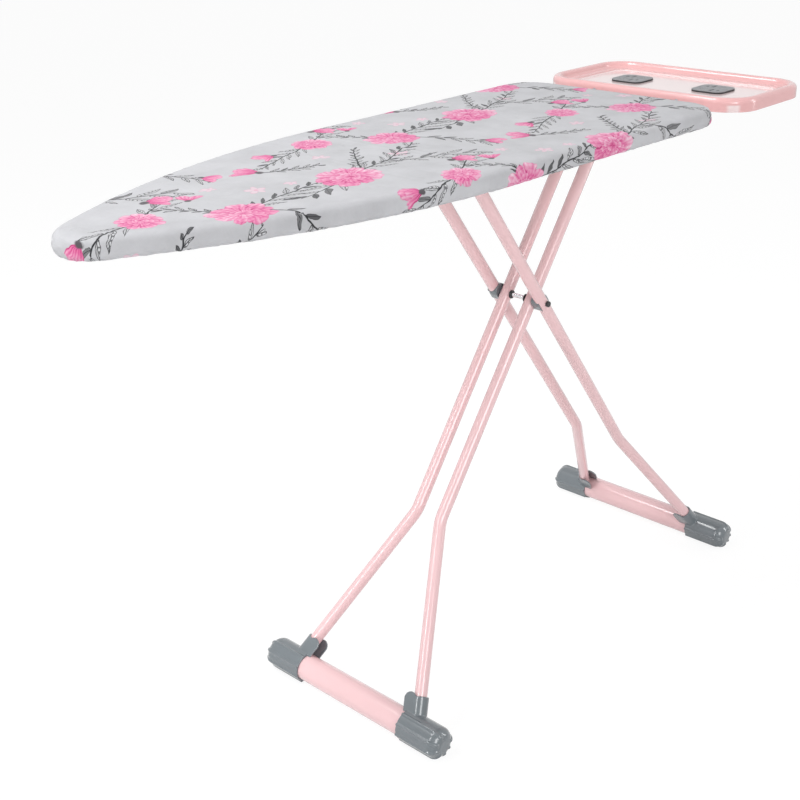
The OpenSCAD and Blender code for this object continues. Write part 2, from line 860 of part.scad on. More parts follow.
// Side view of the collar: wings with round tops, and a lower outer side
module wing_profile(r_out) {
    lobe = wing_reach / 2;
    top = collar_h - lobe;
    translate([0, -wing_reach]) square([top, wing_reach + r_out]);
    translate([top, lobe - wing_reach]) circle(lobe + hair);
    translate([0, lobe - wing_reach]) square([collar_h - 7, lobe + r_out]);
}

// Foot cap for a foot of a given length, where a is the splay of its leg. The
// ribs stand all round it but for the side of the leg.
module foot_cap(foot_len, a) {
    start = foot_len / 2 - cap_len;
    translate([leg_lower, 0, 0]) difference() {
        union() {
            translate([0, start, 0]) rotate([-90, 0, 0]) {
                rotate_extrude() cap_section(cap_len);
                for (i = [-3 : 3]) rotate([0, 0, i * rib_pitch])
                    cap_rib(cap_len);
            }
            translate([0, foot_half, 0]) rotate([0, 0, 180 + a])
                mirror([0, 1, 0]) collar();
        }
        translate([0, start - 1, 0]) rotate([-90, 0, 0])
            cylinder(h = cap_len - cap_round + 1, r = foot_r + running);
        y_rod(foot_r + running, 2 * start);
        translate([0, foot_half, 0]) rotate([0, 0, 180 + a]) leg_slot();
    }
}

// Way for the leg through the sleeve of a cap, open to the middle
module leg_slot() {
    r = leg_r + loose;
    x_rod(r, 0, collar_h + 5);
    translate([0, 0, hair - r])
        cube([collar_h + 5, 3 * r, 2 * (r - hair)]);
}

// Cuts a foot cap flat where it stands on the floor
module on_floor() {
    difference() {
        children();
        translate([-overall_len, -heel_w, -10])
            cube([2 * overall_len, 2 * heel_w, 10]);
    }
}

module front_cap() {
    foot_cap(front_foot_len, splay(inner_half, inner_bend));
}
module rear_cap() {
    foot_cap(rear_foot_len, splay(outer_half, outer_bend));
}
module front_left_foot_cap() {
    color(grey) on_floor() inner_frame() front_cap();
}
module front_right_foot_cap() {
    color(grey) on_floor() inner_frame() mirror([0, 1, 0]) front_cap();
}
module rear_left_foot_cap() {
    color(grey) on_floor() outer_frame() rear_cap();
}
module rear_right_foot_cap() {
    color(grey) on_floor() outer_frame() mirror([0, 1, 0]) rear_cap();
}

// ------------------------------------------------------------ centre pivot

module axle() {
    color("silver") translate([pivot_x, 0, pivot_z])
        y_rod(axle_r, 2 * axle_half);
}

// Washers against the inner faces of the inner legs
module axle_washers() {
    y1 = inner_half - leg_r;
    color(dark) translate([pivot_x, 0, pivot_z])
        both() y_ring(axle_r + 3.5, axle_r + running, y1 - 2, y1);
}

// Push-on caps over the ends of the axle
module axle_caps() {
    y0 = outer_half + leg_r + loose;
    color(dark) translate([pivot_x, 0, pivot_z]) both() difference() {
        translate([0, y0, 0]) rotate([-90, 0, 0])
            rotate_extrude() {
                square([axle_r + button_r, axle_half - y0]);
                translate([0, axle_half - y0]) square([axle_r, button_r]);
                translate([axle_r, axle_half - y0]) intersection() {
                    circle(button_r);
                    square(button_r);
                }
            }
        y_rod(axle_r + running, 2 * axle_half);
    }
}

// Saddle that cups an outer leg and bears on the inner leg beside it
module leg_saddle() {
    y0 = inner_half + leg_r + loose;
    y1 = outer_half + leg_r * 0.35;
    straight = saddle_len - saddle_across;
    difference() {
        translate([0, y1, 0]) rotate([90, 0, 0])
            linear_extrude(y1 - y0) {
                square([straight, saddle_across], center = true);
                for (s = [-1, 1])
                    translate([s * straight / 2, 0]) circle(saddle_across / 2);
            }
        translate([0, outer_half, 0])
            x_rod(leg_r + running, -saddle_len, saddle_len);
        y_rod(axle_r + running, 4 * outer_half);
    }
}

module left_leg_saddle() { color(grey) outer_frame() leg_saddle(); }
module right_leg_saddle() {
    color(grey) outer_frame() mirror([0, 1, 0]) leg_saddle();
}

// ------------------------------------------------------------- height lock

// Moulded carriage: holds the top bar across, slides on the guide rod along
module carriage() {
    rise = guide_z - top_z;
    half = carriage_len / 2;
    body_r = top_bar_r + carriage_wall + 1;
    crown_r = guide_r + carriage_wall;
    drop = lever_z - top_z;
    color("#e8e8e6") translate([bar_x, 0, top_z]) difference() {
        translate([0, carriage_w / 2, 0]) rotate([90, 0, 0])
            linear_extrude(carriage_w) {
                circle(body_r);
                translate([-body_r, 0]) square([2 * body_r, rise]);
                translate([-half, rise - crown_r])
                    square([2 * half, 2 * crown_r]);
                translate([cheek_x, drop]) circle(cheek_r);
                translate([cheek_x, drop - cheek_r])
                    square([-cheek_x - half + 1, 2 * cheek_r]);
            }
        y_rod(top_bar_r + running, 2 * carriage_w);
        translate([0, 0, rise])
            x_rod(guide_r + running, -2 * half, 2 * half);
        translate([cheek_x, 0, drop]) y_rod(lever_r + running, 2 * carriage_w);
        translate([cheek_x - cheek_r - 1, -plate_w / 2 - loose,
            drop - cheek_r - 1])
            cube([-cheek_x - half + cheek_r + 1, plate_w + 2 * loose,
                3 * cheek_r + 2]);
    }
}

// Clamp plate: leans back over the guide rod and grips it in its bore
module lock_plate() {
    bore_at = (guide_z - lever_z) / cos(plate_lean);
    color(steel) translate([lever_x, 0, lever_z])
        rotate([0, plate_lean, 0]) difference() {
            union() {
                translate([-plate_t / 2, hair - plate_w / 2, 0])
                    cube([plate_t, plate_w - 2 * hair, bore_at]);
                translate([-plate_t / 2, 0, bore_at]) rotate([0, 90, 0])
                    cylinder(h = plate_t, r = plate_w / 2);
                y_rod(hub_r, plate_w);
            }
            y_rod(lever_r + running, 2 * plate_w);
            translate([-plate_t, 0, bore_at]) rotate([0, 90, 0])
                cylinder(h = 2 * plate_t, r = plate_bore_r);
        }
}

// Lever rod: across to the left side of the board, then a crank to the grip
module lever_rod() {
    bend = 12;
    y_end = lever_reach - bend;
    y_start = -carriage_w / 2 - 3;
    color(steel) translate([lever_x, 0, lever_z]) {
        translate([0, y_start, 0]) rotate([-90, 0, 0])
            cylinder(h = y_end - y_start, r = lever_r);
        translate([bend, y_end, 0]) rotate([0, 0, 90])
            rotate_extrude(angle = 90) translate([bend, 0]) circle(lever_r);
        translate([0, lever_reach, 0]) x_rod(lever_r, bend, crank_len);
    }
}

// Moulded grip on the end of the crank
module lever_grip() {
    grip_r = lever_r + 2.5;
    len = 40;
    color(grey) translate([lever_x + crank_len - len + 3, lever_reach, lever_z])
        difference() {
            rotate([0, 90, 0]) rotate_extrude() {
                square([grip_r, len - grip_r]);
                translate([0, len - grip_r]) intersection() {
                    circle(grip_r);
                    square(grip_r);
                }
            }
            x_rod(lever_r + running, -1, len - 3);
        }
}

cover();
felt_pad();
deck();
rim_tube();
front_rail();
middle_rail();
hinge_rail();
hinge_bracket();
hinge_pin();
front_rod_bracket();
rear_rod_bracket();
guide_rod();
rod_buffers();
rod_clips();
bracket_rivets();
iron_rest();
left_rest_arm();
right_rest_arm();
rest_rivets();
left_rest_pad();
right_rest_pad();
left_inner_leg();
right_inner_leg();
inner_top_sleeve();
inner_leg_plugs();
front_foot_tube();
front_left_foot_cap();
front_right_foot_cap();
axle();
axle_washers();
axle_caps();
left_outer_leg();
right_outer_leg();
outer_top_bar();
outer_leg_plugs();
rear_foot_tube();
rear_left_foot_cap();
rear_right_foot_cap();
left_leg_saddle();
right_leg_saddle();
carriage();
lock_plate();
lever_rod();
lever_grip();
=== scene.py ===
import json
import math

import bmesh
import bpy
import numpy as np
from mathutils import Matrix, Vector
from mathutils.geometry import convex_hull_2d


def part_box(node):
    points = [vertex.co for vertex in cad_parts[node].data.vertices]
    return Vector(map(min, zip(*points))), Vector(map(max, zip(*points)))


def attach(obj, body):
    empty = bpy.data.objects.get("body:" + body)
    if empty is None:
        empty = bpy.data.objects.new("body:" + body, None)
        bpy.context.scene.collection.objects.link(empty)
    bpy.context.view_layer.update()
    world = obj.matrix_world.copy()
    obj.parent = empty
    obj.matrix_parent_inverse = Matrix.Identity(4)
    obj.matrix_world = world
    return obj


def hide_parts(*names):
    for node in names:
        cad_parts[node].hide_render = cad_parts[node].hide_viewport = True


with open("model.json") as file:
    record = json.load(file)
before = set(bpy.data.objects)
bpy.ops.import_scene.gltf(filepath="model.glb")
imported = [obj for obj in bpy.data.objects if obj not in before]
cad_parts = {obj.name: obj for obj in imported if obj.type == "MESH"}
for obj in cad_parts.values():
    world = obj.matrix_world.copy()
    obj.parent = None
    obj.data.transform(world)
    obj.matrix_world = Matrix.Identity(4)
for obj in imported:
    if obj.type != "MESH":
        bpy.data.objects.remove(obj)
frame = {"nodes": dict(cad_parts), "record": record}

nodes, record = frame["nodes"], frame["record"]
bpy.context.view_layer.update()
scene = bpy.context.scene


# ------------------------------------------------------------------- shading


class Val:
    """A number or vector that varies over a surface. Arithmetic on it adds
    Math nodes to its tree."""

    def __init__(self, tree, socket):
        self.tree, self.socket = tree, socket

    def math(self, op, *rest, first=None):
        n = self.tree.nodes.new("ShaderNodeMath")
        n.operation = op
        for i, v in enumerate((self if first is None else first, *rest)):
            feed(self.tree, n.inputs[i], v)
        return Val(self.tree, n.outputs[0])

    def __add__(self, o): return self.math("ADD", o)
    def __sub__(self, o): return self.math("SUBTRACT", o)
    def __mul__(self, o): return self.math("MULTIPLY", o)
    def __truediv__(self, o): return self.math("DIVIDE", o)
    def __pow__(self, o): return self.math("POWER", o)
    def __abs__(self): return self.math("ABSOLUTE")
    def __lt__(self, o): return self.math("LESS_THAN", o)
    def __gt__(self, o): return self.math("GREATER_THAN", o)
    def __rsub__(self, o): return self.math("SUBTRACT", self, first=o)
    def __rtruediv__(self, o): return self.math("DIVIDE", self, first=o)
    def __rpow__(self, o): return self.math("POWER", self, first=o)
    __radd__, __rmul__ = __add__, __mul__

    def sin(self): return self.math("SINE")
    def floor(self): return self.math("FLOOR")
    def frac(self): return self.math("FRACT")
    def most(self, o): return self.math("MAXIMUM", o)
    def wrap(self, high, low): return self.math("WRAP", high, low)
    def madd(self, a, b): return self.math("MULTIPLY_ADD", a, b)

    def clip(self):
        n = self.tree.nodes.new("ShaderNodeClamp")
        feed(self.tree, n.inputs[0], self)
        return Val(self.tree, n.outputs[0])


def feed(tree, socket, value):
    if isinstance(value, Val):
        tree.links.new(value.socket, socket)
    elif value is not None:
        socket.default_value = value


class Drawing:
    """The nodes of one tree, put in by kind."""

    def __init__(self, tree):
        self.tree = tree

    def add(self, kind, sockets=None, out=0, stops=None, **settings):
        n = self.tree.nodes.new("ShaderNode" + kind)
        for key, v in settings.items():
            setattr(n, key, v)
        if stops:
            ramp = n.color_ramp
            while len(ramp.elements) < len(stops):
                ramp.elements.new(0.5)
            for e, (at, c) in zip(ramp.elements, stops):
                e.position = at
                e.color = (*c, 1) if hasattr(c, "__len__") else (c, c, c, 1)
        for key, v in (sockets or {}).items():
            feed(self.tree, n.inputs[key], v)
        return Val(self.tree, n.outputs[out])

    def place(self):
        return self.add("TexCoord", out="Object")

    def cloud(self, at, scale, detail=3.0, rough=0.55, out="Fac", **more):
        return self.add("TexNoise", {"Vector": at, "Scale": scale,
                        "Detail": detail, "Roughness": rough, **more}, out=out)

    def ramp(self, fac, stops):
        return self.add("ValToRGB", {"Fac": fac}, stops=stops)

    def blend(self, fac, a, b):
        n = self.tree.nodes.new("ShaderNodeMix")
        n.data_type = "RGBA"
        feed(self.tree, n.inputs[0], fac)
        for i, v in ((6, a), (7, b)):
            feed(self.tree, n.inputs[i], v if isinstance(v, Val) else (*v, 1))
        return Val(self.tree, n.outputs[2])

    def split(self, vector):
        n = self.tree.nodes.new("ShaderNodeSeparateXYZ")
        feed(self.tree, n.inputs[0], vector)
        return [Val(self.tree, o) for o in n.outputs]

    def join(self, x=0.0, y=0.0, z=0.0):
        return self.add("CombineXYZ", {"X": x, "Y": y, "Z": z})

    def bump(self, height, depth, strength=1.0, over=None):
        sockets = {"Height": height, "Distance": depth, "Strength": strength}
        if over is not None:
            sockets["Normal"] = over
        return self.add("Bump", sockets)


class Finish(Drawing):
    """One material: its tree and its shader."""

    def __init__(self, name, colour, rough, **fixed):
        self.mat = bpy.data.materials.new(name)
        self.mat.use_nodes = True
        super().__init__(self.mat.node_tree)
        self.shader = self.tree.nodes["Principled BSDF"]
        self.shader.inputs["Base Color"].default_value = (*colour, 1)
        self.shader.inputs["Roughness"].default_value = rough
        for key, v in fixed.items():
            self.shader.inputs[key.replace("_", " ")].default_value = v
        self.mat.diffuse_color = (*colour, 1)

    def set(self, **links):
        for key, v in links.items():
            feed(self.tree, self.shader.inputs[key.replace("_", " ")], v)
        return self.mat


def smooth(value, width):
    """0 below zero, 1 above width."""
    return (value / width).clip()


# ----------------------------------------------------------------- finishes


def paint(name, colour, light, rough=0.22, pale=None):
    """Powder coat: a gloss skin, very slightly clouded, with rubbed spots.
    pale gives a paler colour that is painted reflection of the bright room on the
    tray's floor, the height under which it takes over, and the middle and half
    size of the field in which it does."""
    f = Finish(name, colour, rough, Coat_Roughness=0.06, Coat_IOR=1.5,
               Specular_IOR_Level=0.5)
    at = f.place()
    tone = f.cloud(at, 5, 3)
    shade = f.ramp(tone, [(0.3, tuple(0.965 * c for c in colour)),
                          (0.7, tuple(min(1, 1.02 * c) for c in colour))])
    # Painted reflection: below the height given, the tray's floor is painted paler in
    # place of a reflection.
    if pale:
        x, y, height = f.split(at)
        other, below, middle, half = pale
        field = (smooth(half.x - abs(x - middle.x), 0.004)
                 * smooth(half.y - abs(y - middle.y), 0.004))
        shade = f.blend(smooth(below - height, 0.0012) * field, shade, other)
    rubbed = smooth(f.cloud(at, 14, 4, 0.6) - 0.70, 0.1)
    shade = f.blend(rubbed * 0.15, shade, light)
    f.set(Base_Color=shade,
          Roughness=f.cloud(at, 12, 2).madd(0.06, rough - 0.03) + rubbed * 0.05,
          Coat_Weight=tone.madd(0.2, 0.7),
          Normal=f.bump(f.cloud(at, 30, 1), 0.00002, 0.1))
    return f.mat


def moulded(name, colour, rough, grain=700.0, depth=0.00004, shine=0.5, coat=0.0,
            painted_shade_below=None):
    """Moulded plastic or rubber with a fine grain, flow marks and scuffs. Under
    the last height given its colour is darkened as painted shade in recesses."""
    f = Finish(name, colour, rough, Specular_IOR_Level=shine, Coat_Weight=coat,
               Coat_Roughness=0.07)
    at = f.place()
    tone = f.cloud(at, 11, 3)
    scuff = smooth(f.cloud(at, 80, 6, 0.75) - 0.68, 0.1)
    shade = f.ramp(tone, [(0.3, tuple(0.92 * c for c in colour)),
                          (0.75, tuple(min(1, 1.08 * c) for c in colour))])
    shade = f.blend(scuff * 0.12, shade, tuple(min(1, c + 0.2) for c in colour))
    # Painted shade: below the given height the colour drops to 0.12 of itself, for the
    # shade in the iron pads' slots.
    if painted_shade_below:
        shade = f.blend(smooth(painted_shade_below - f.split(at)[2], 0.0005), shade,
                        tuple(0.12 * c for c in colour))
    f.set(Base_Color=shade, Roughness=f.cloud(at, 90, 3).madd(0.12, rough - 0.06)
          + scuff * 0.15, Normal=f.bump(f.cloud(at, grain, 2), depth, 0.5))
    return f.mat


def metal(name, colour, rough, brushed=0.0):
    """Plated or polished steel: brushed along X or spangled, with wipe marks."""
    f = Finish(name, colour, rough, Metallic=1.0)
    at = f.place()
    stretched = f.add("VectorMath", {0: at, 1: (40, 900, 900)},
                      operation="MULTIPLY") if brushed else at
    lines = f.cloud(stretched, 1.0 if brushed else 300, 3)
    wipe = f.cloud(at, 25, 4, 0.7)
    shade = f.ramp(wipe, [(0.3, tuple(0.88 * c for c in colour)),
                          (0.7, tuple(min(1, 1.05 * c) for c in colour))])
    f.set(Base_Color=shade, Roughness=lines.madd(0.12, rough - 0.06)
          + smooth(wipe - 0.55, 0.3) * 0.08,
          Normal=f.bump(lines, 0.00002 + 0.00003 * brushed, 0.5))
    return f.mat


def felt_finish():
    """Needled felt: short matted fibres and the odd coloured one."""
    base = (0.80, 0.78, 0.72)
    f = Finish("felt", base, 0.95, Sheen_Weight=0.3, Sheen_Roughness=0.6)
    at = f.place()
    wavy = f.add("VectorMath", {0: at, 1: f.cloud(at, 60, 2, out="Color")},
                 operation="ADD")
    fibre = f.cloud(wavy, 420, 6, 0.7, Distortion=1.2)
    shade = f.ramp(fibre, [(0.3, (0.58, 0.56, 0.52)), (0.55, base),
                           (0.8, (0.9, 0.88, 0.84))])
    fleck = smooth(f.cloud(at, 240, 3) - 0.66, 0.03)
    f.set(Base_Color=f.blend(fleck * 0.5, shade, (0.35, 0.38, 0.45)),
          Roughness=fibre.madd(0.1, 0.88),
          Normal=f.bump(fibre, 0.0006, 0.8))
    return f.mat


def deck_finish():
    """Cold-rolled sheet under a thin coat of light grey paint."""
    base = (0.62, 0.63, 0.64)
    f = Finish("deck_paint", base, 0.4, Metallic=0.15)
    at = f.place()
    tone = f.cloud(at, 9, 5)
    shade = f.ramp(tone, [(0.3, (0.55, 0.56, 0.57)), (0.7, (0.68, 0.69, 0.70))])
    chips = smooth(f.cloud(at, 130, 5, 0.7) - 0.7, 0.03)
    f.set(Base_Color=f.blend(chips, shade, (0.35, 0.34, 0.33)),
          Roughness=f.cloud(at, 200, 2).madd(0.2, 0.32),
          Metallic=chips.madd(0.6, 0.15),
          Normal=f.bump(f.cloud(at, 500, 2), 0.00008, 0.6))
    return f.mat


# --------------------------------------------------------------- the print

PINK = [(0.0, (0.50, 0.035, 0.17)), (0.2, (0.68, 0.10, 0.29)),
        (0.45, (0.76, 0.22, 0.41)), (0.7, (0.81, 0.42, 0.57)),
        (1.0, (0.86, 0.70, 0.76))]
INK = (0.014, 0.014, 0.018)
GROUND = (0.55, 0.552, 0.575)
CELL = (430.0, 300.0)
SLANT = 145.0  # each column of cells stands this much higher than the last


class Motif(Drawing):
    """A motif of the print, drawn once as a group of nodes and then laid down
    many times. Its numbers are the place on the cloth u, v, the unevenness of
    the drawing fine and broad, its own place x, y in a cell with the cosine c
    and sine s of its turn, and what its drawing asks for besides."""

    def __init__(self, draw, keys):
        super().__init__(bpy.data.node_groups.new(draw.__name__, "ShaderNodeTree"))
        face = self.tree.interface
        face.new_socket("under", in_out="INPUT", socket_type="NodeSocketColor")
        for key in keys:
            face.new_socket(key, in_out="INPUT", socket_type="NodeSocketFloat")
        face.new_socket("laid", in_out="OUTPUT", socket_type="NodeSocketColor")
        given = self.tree.nodes.new("NodeGroupInput")
        self.colour = Val(self.tree, given.outputs["under"])
        for key in keys:
            setattr(self, key, Val(self.tree, given.outputs[key]))
        draw(self)
        done = self.tree.nodes.new("NodeGroupOutput")
        feed(self.tree, done.inputs["laid"], self.colour)

    def at(self, wide=1.0, high=1.0):
        """Coordinates about the motif's own origin, in the nearest cell."""
        a = (self.u - self.x) / CELL[0]
        b = (self.v - self.y - a * SLANT) / CELL[1]
        a, b = a.wrap(0.5, -0.5), b.wrap(0.5, -0.5)
        px, py = a * CELL[0], b * CELL[1] + a * SLANT
        return ((px * self.c + py * self.s) / wide, (py * self.c - px * self.s) / high)

    def chance(self, number):
        return self.add("TexWhiteNoise", {"W": number}, out="Value",
                        noise_dimensions="1D")

    def lay(self, mask, colour):
        self.colour = self.blend(mask, self.colour, colour)


def blossom(m):
    """A full round blossom. Rings of petals, the outer ring first; each petal
    has its own tone, a dark foot and a pale lip."""
    x, y = m.at(m.size, m.size * 0.86)
    r = (x * x + y * y) ** 0.5
    turn = m.add("Math", {0: y, 1: x}, operation="ARCTAN2")
    wave = m.broad * 9 + m.seed
    streak = ((turn * 31 + wave * 2.3).sin() * 0.10 + (turn * 17 - wave).sin() * 0.08
              + m.fine * 0.55)
    ruffle = m.broad * 0.5 + m.fine * 0.45
    tone = mask = None
    rings = [(1.0, 9, 0.1, 0.02), (0.80, 8, 0.55, -0.04), (0.60, 7, 0.2, 0.03),
             (0.41, 5, 0.7, 0.10), (0.23, 4, 0.35, 0.16)]
    for i, (size, petals, shift, depth) in enumerate(rings):
        a = turn.madd(petals / (2 * math.pi), shift) + m.broad * 0.8
        which = a.floor()
        across = abs(a - which - 0.5) * 2
        own = m.chance(which + m.seed + i * 13.7)
        edge = (own * 0.13 - across ** 3 * 0.17 + 0.93 + ruffle * 0.36) * size
        part = r / edge
        inside = smooth(1.0 - part, 0.035 / size)
        new = (part ** 1.6).madd(0.62, depth) + own * 0.26
        new = new - (across ** 7) * 0.42 - smooth(part - 0.93, 0.05) * 0.26
        if tone is None:
            tone, mask = new, inside
        else:
            tone = tone + (new - tone) * inside
    m.lay(mask, m.ramp((tone + streak + x * m.lit - 0.08).clip(), PINK))


def cup(m):
    """A blossom from the side: a fan of petals on a small dark calyx."""
    px, py = m.at(m.size, m.size)
    r = (px * px + py * py) ** 0.5
    lean = m.add("Math", {0: py, 1: px}, operation="ARCTAN2")
    streak = (lean * 29 + m.broad * 11 + m.seed).sin() * 0.13 + m.fine * 0.6
    frill = m.broad * 0.35 + m.fine * 0.35
    for wide, reach, lobes in ((0.66, 1.0, 3.5), (0.38, 0.8, 5.0)):
        edge = abs((lean * lobes + m.seed).sin()).madd(0.22, 0.82) * reach + frill
        side = wide * 1.35 - abs(lean) - r * wide * 0.35 + m.fine * 0.15
        mask = smooth(side, 0.05) * smooth(edge - r, 0.05)
        tone = ((r / edge) * 0.6 + streak + 0.05 - smooth(r / edge - 0.9, 0.08) * 0.3
                - smooth(0.16 - side, 0.1) * 0.25)
        m.lay(mask, m.ramp(tone.clip(), PINK))
    m.lay(smooth(0.22 - r - abs(lean) * 0.03, 0.06), (0.10, 0.09, 0.10))


def sprig(m):
    """A drawn twig that starts at its place and bears leaves on both sides."""
    px, py = m.at()
    py = py - px * px * (m.bend / (m.long * m.long))
    off = abs(py)
    side = py > 0.0
    along = (px - off * 1.1 - off * off * 0.006) / m.pitch + side * 0.5
    which = along.floor()
    chance = m.chance(which + side * 0.37 + m.seed)
    base = which * m.pitch
    here = smooth(base - 5, 2) * smooth(m.long - base, 2)
    reach = (chance * 0.5 + 0.62) * m.leaf * (1 - base / m.long * 0.45)
    t = (off / reach).clip()
    body = (t ** 0.8 * math.pi).sin() * (chance * 0.3 + 0.8) * m.half
    d = abs(along.frac() - 0.5) * m.pitch
    inside = smooth(body - d, 0.7) * here
    outline = smooth(1.9 - (body - d), 0.7)
    rib = smooth(1.0 - d, 0.5)
    hatch = smooth((off * 1.5 - d * 0.9 + m.fine * 9).sin() - 0.15, 0.5)
    solid = smooth(0.52 - abs(chance - 0.3) * 2.0, 0.3) * 0.88
    ink = inside * outline.most(rib).most(hatch * 0.75).most(solid)
    stem = (smooth(1.8 - off - px / m.long * 0.7, 0.6) * smooth(px, 2)
            * smooth(m.long - px, 3))
    m.lay(inside * 0.4, (0.68, 0.685, 0.70))
    m.lay(ink.most(stem) * 0.96, INK)


def star(m):
    """A small pale five-petalled flower with a drawn edge and eye."""
    px, py = m.at()
    r = (px * px + py * py) ** 0.5
    angle = m.add("Math", {0: py, 1: px}, operation="ARCTAN2")
    edge = (abs((angle * 2.5).sin()).madd(0.62, 0.38) + m.fine * 0.5) * m.size
    inside = smooth(edge - r, 0.8)
    line = inside * smooth(2.0 - (edge - r), 0.8)
    m.lay(inside * 0.6, (0.84, 0.62, 0.70))
    m.lay(line.most(smooth(m.size * 0.2 - r, 0.8)) * 0.55, (0.72, 0.26, 0.42))


class Print:
    """The print of the cover, in millimetres of flat cloth. Motifs sit in a
    slanted lattice of cells and are laid over each other in turn."""

    def __init__(self, f, u, v):
        self.f = f
        mm = f.join(u, v)
        self.broad = f.cloud(mm, 0.035, 3) - 0.5
        self.fine = f.cloud(mm, 0.13, 4, 0.6) - 0.5
        hand = f.split(f.cloud(mm, 0.012, 3, out="Color"))
        self.u = u + (hand[0] - 0.5) * 26
        self.v = v + (hand[1] - 0.5) * 26
        self.colour = None
        self.motifs = {}

    def put(self, draw, x, y, turn, **own):
        c, s = math.cos(math.radians(turn)), math.sin(math.radians(turn))
        numbers = dict(u=self.u, v=self.v, fine=self.fine, broad=self.broad,
                       x=x, y=y, c=c, s=s, **own)
        if draw not in self.motifs:
            self.motifs[draw] = Motif(draw, numbers)
        n = self.f.tree.nodes.new("ShaderNodeGroup")
        n.node_tree = self.motifs[draw].tree
        for key, v in numbers.items():
            feed(self.f.tree, n.inputs[key], v)
        feed(self.f.tree, n.inputs["under"], self.colour)
        self.colour = Val(self.f.tree, n.outputs["laid"])

    def twig(self, x, y, turn, long, bend, leaves, seed):
        leaf, half, pitch = leaves
        self.put(sprig, x, y, turn, long=long, bend=bend, leaf=leaf, half=half,
                 pitch=pitch, seed=seed)

    def side_bloom(self, x, y, turn, size, seed):
        self.put(cup, x, y, turn, size=size, seed=seed)

    def bloom(self, x, y, turn, size, seed, lit):
        self.put(blossom, x, y, turn, size=size, seed=seed, lit=lit)


def cotton():
    """Plain-woven cotton with the print, its slubs and soft creases."""
    f = Finish("printed_cotton", GROUND, 0.86, Sheen_Weight=0.12,
               Sheen_Roughness=0.5, Specular_IOR_Level=0.25)
    flat = f.add("UVMap", uv_map="flat_cloth")
    u, v, _ = (c * 1000 for c in f.split(flat))
    mm = f.join(u, v)
    p = Print(f, u, v)
    wash = f.cloud(mm, 0.012, 5, 0.6)
    p.colour = f.ramp(wash, [(0.3, tuple(0.90 * c for c in GROUND)),
                             (0.5, GROUND), (0.72, tuple(1.09 * c for c in GROUND))])
    p.put(star, 250, 122, 20, size=15)
    p.put(star, 28, 118, 50, size=11)
    p.put(star, 160, 196, 5, size=13)
    p.put(star, 402, 268, 33, size=16)
    p.put(star, 366, 22, 60, size=11)
    small, middle, broad = (17, 5.0, 17), (26, 7.0, 25), (37, 10.0, 33)
    p.twig(105, 80, 12, 250, 38, middle, 1.3)
    p.twig(320, 200, 16, 236, -24, middle, 2.6)
    p.twig(150, 95, 60, 132, -18, small, 3.9)
    p.twig(196, 112, -36, 150, 22, broad, 4.4)
    p.twig(105, 80, 206, 128, -22, broad, 5.7)
    p.twig(320, 200, 116, 118, 16, small, 6.2)
    p.twig(352, 186, -64, 140, -20, middle, 7.5)
    p.twig(214, 268, 192, 168, 28, middle, 8.1)
    p.twig(214, 268, 38, 118, -14, broad, 9.4)
    p.twig(40, 196, -30, 96, 12, small, 10.2)
    p.side_bloom(268, 34, -24, 42, 1.1)
    p.side_bloom(44, 194, 124, 44, 2.3)
    p.side_bloom(398, 84, -58, 35, 3.7)
    p.side_bloom(124, 258, 176, 37, 5.2)
    p.side_bloom(312, 292, 52, 31, 6.6)
    p.bloom(105, 80, 15, 54, 0.7, 0.12)
    p.bloom(320, 200, -28, 46, 2.9, -0.10)
    p.bloom(214, 268, 40, 36, 4.6, 0.06)
    warp_yarn = (u * 5.6).sin() * (v * 5.6).sin()
    slub = f.cloud(f.join(u * 0.06, v * 1.6), 1.0, 2)
    slub2 = f.cloud(f.join(u * 1.6, v * 0.06, 4.0), 1.0, 2)
    yarns = (slub + slub2).madd(0.10, 0.90)
    colour = f.add("VectorMath", {0: p.colour, 3: yarns}, operation="SCALE")
    crease = f.cloud(mm, 0.02, 4, 0.5, Distortion=0.6)
    soft = f.bump(crease, 0.006, 0.5)
    f.set(Base_Color=colour, Roughness=slub.madd(0.12, 0.80),
          Normal=f.bump(warp_yarn * 0.5 + (slub + slub2) * 0.8, 0.00022, 0.6, soft))
    return f.mat


# ------------------------------------------------------------ making pieces


def piece(name, bm, finish, body, replaces=()):
    """Turns a bmesh into an object that rides on a body."""
    bm.normal_update()
    mesh = bpy.data.meshes.new(name)
    bm.to_mesh(mesh)
    bm.free()
    return owned(bpy.data.objects.new(name, mesh), finish, body, replaces)


def owned(o, finish, body, replaces=()):
    if o.name not in scene.collection.objects:
        scene.collection.objects.link(o)
    o.data.materials.clear()
    o.data.materials.append(finish)
    for p in o.data.polygons:
        p.use_smooth = True
    if replaces:
        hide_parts(*replaces)
    if body:
        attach(o, body)
    return o


def bake_modifiers(o):
    """Fixes what the modifiers make into the mesh."""
    bpy.context.view_layer.update()
    made = bpy.data.meshes.new_from_object(
        o.evaluated_get(bpy.context.evaluated_depsgraph_get()))
    o.modifiers.clear()
    old, o.data = o.data, made
    bpy.data.meshes.remove(old)
    return o


def points_of(mesh):
    co = np.zeros(len(mesh.vertices) * 3)
    mesh.vertices.foreach_get("co", co)
    return co.reshape(-1, 3)


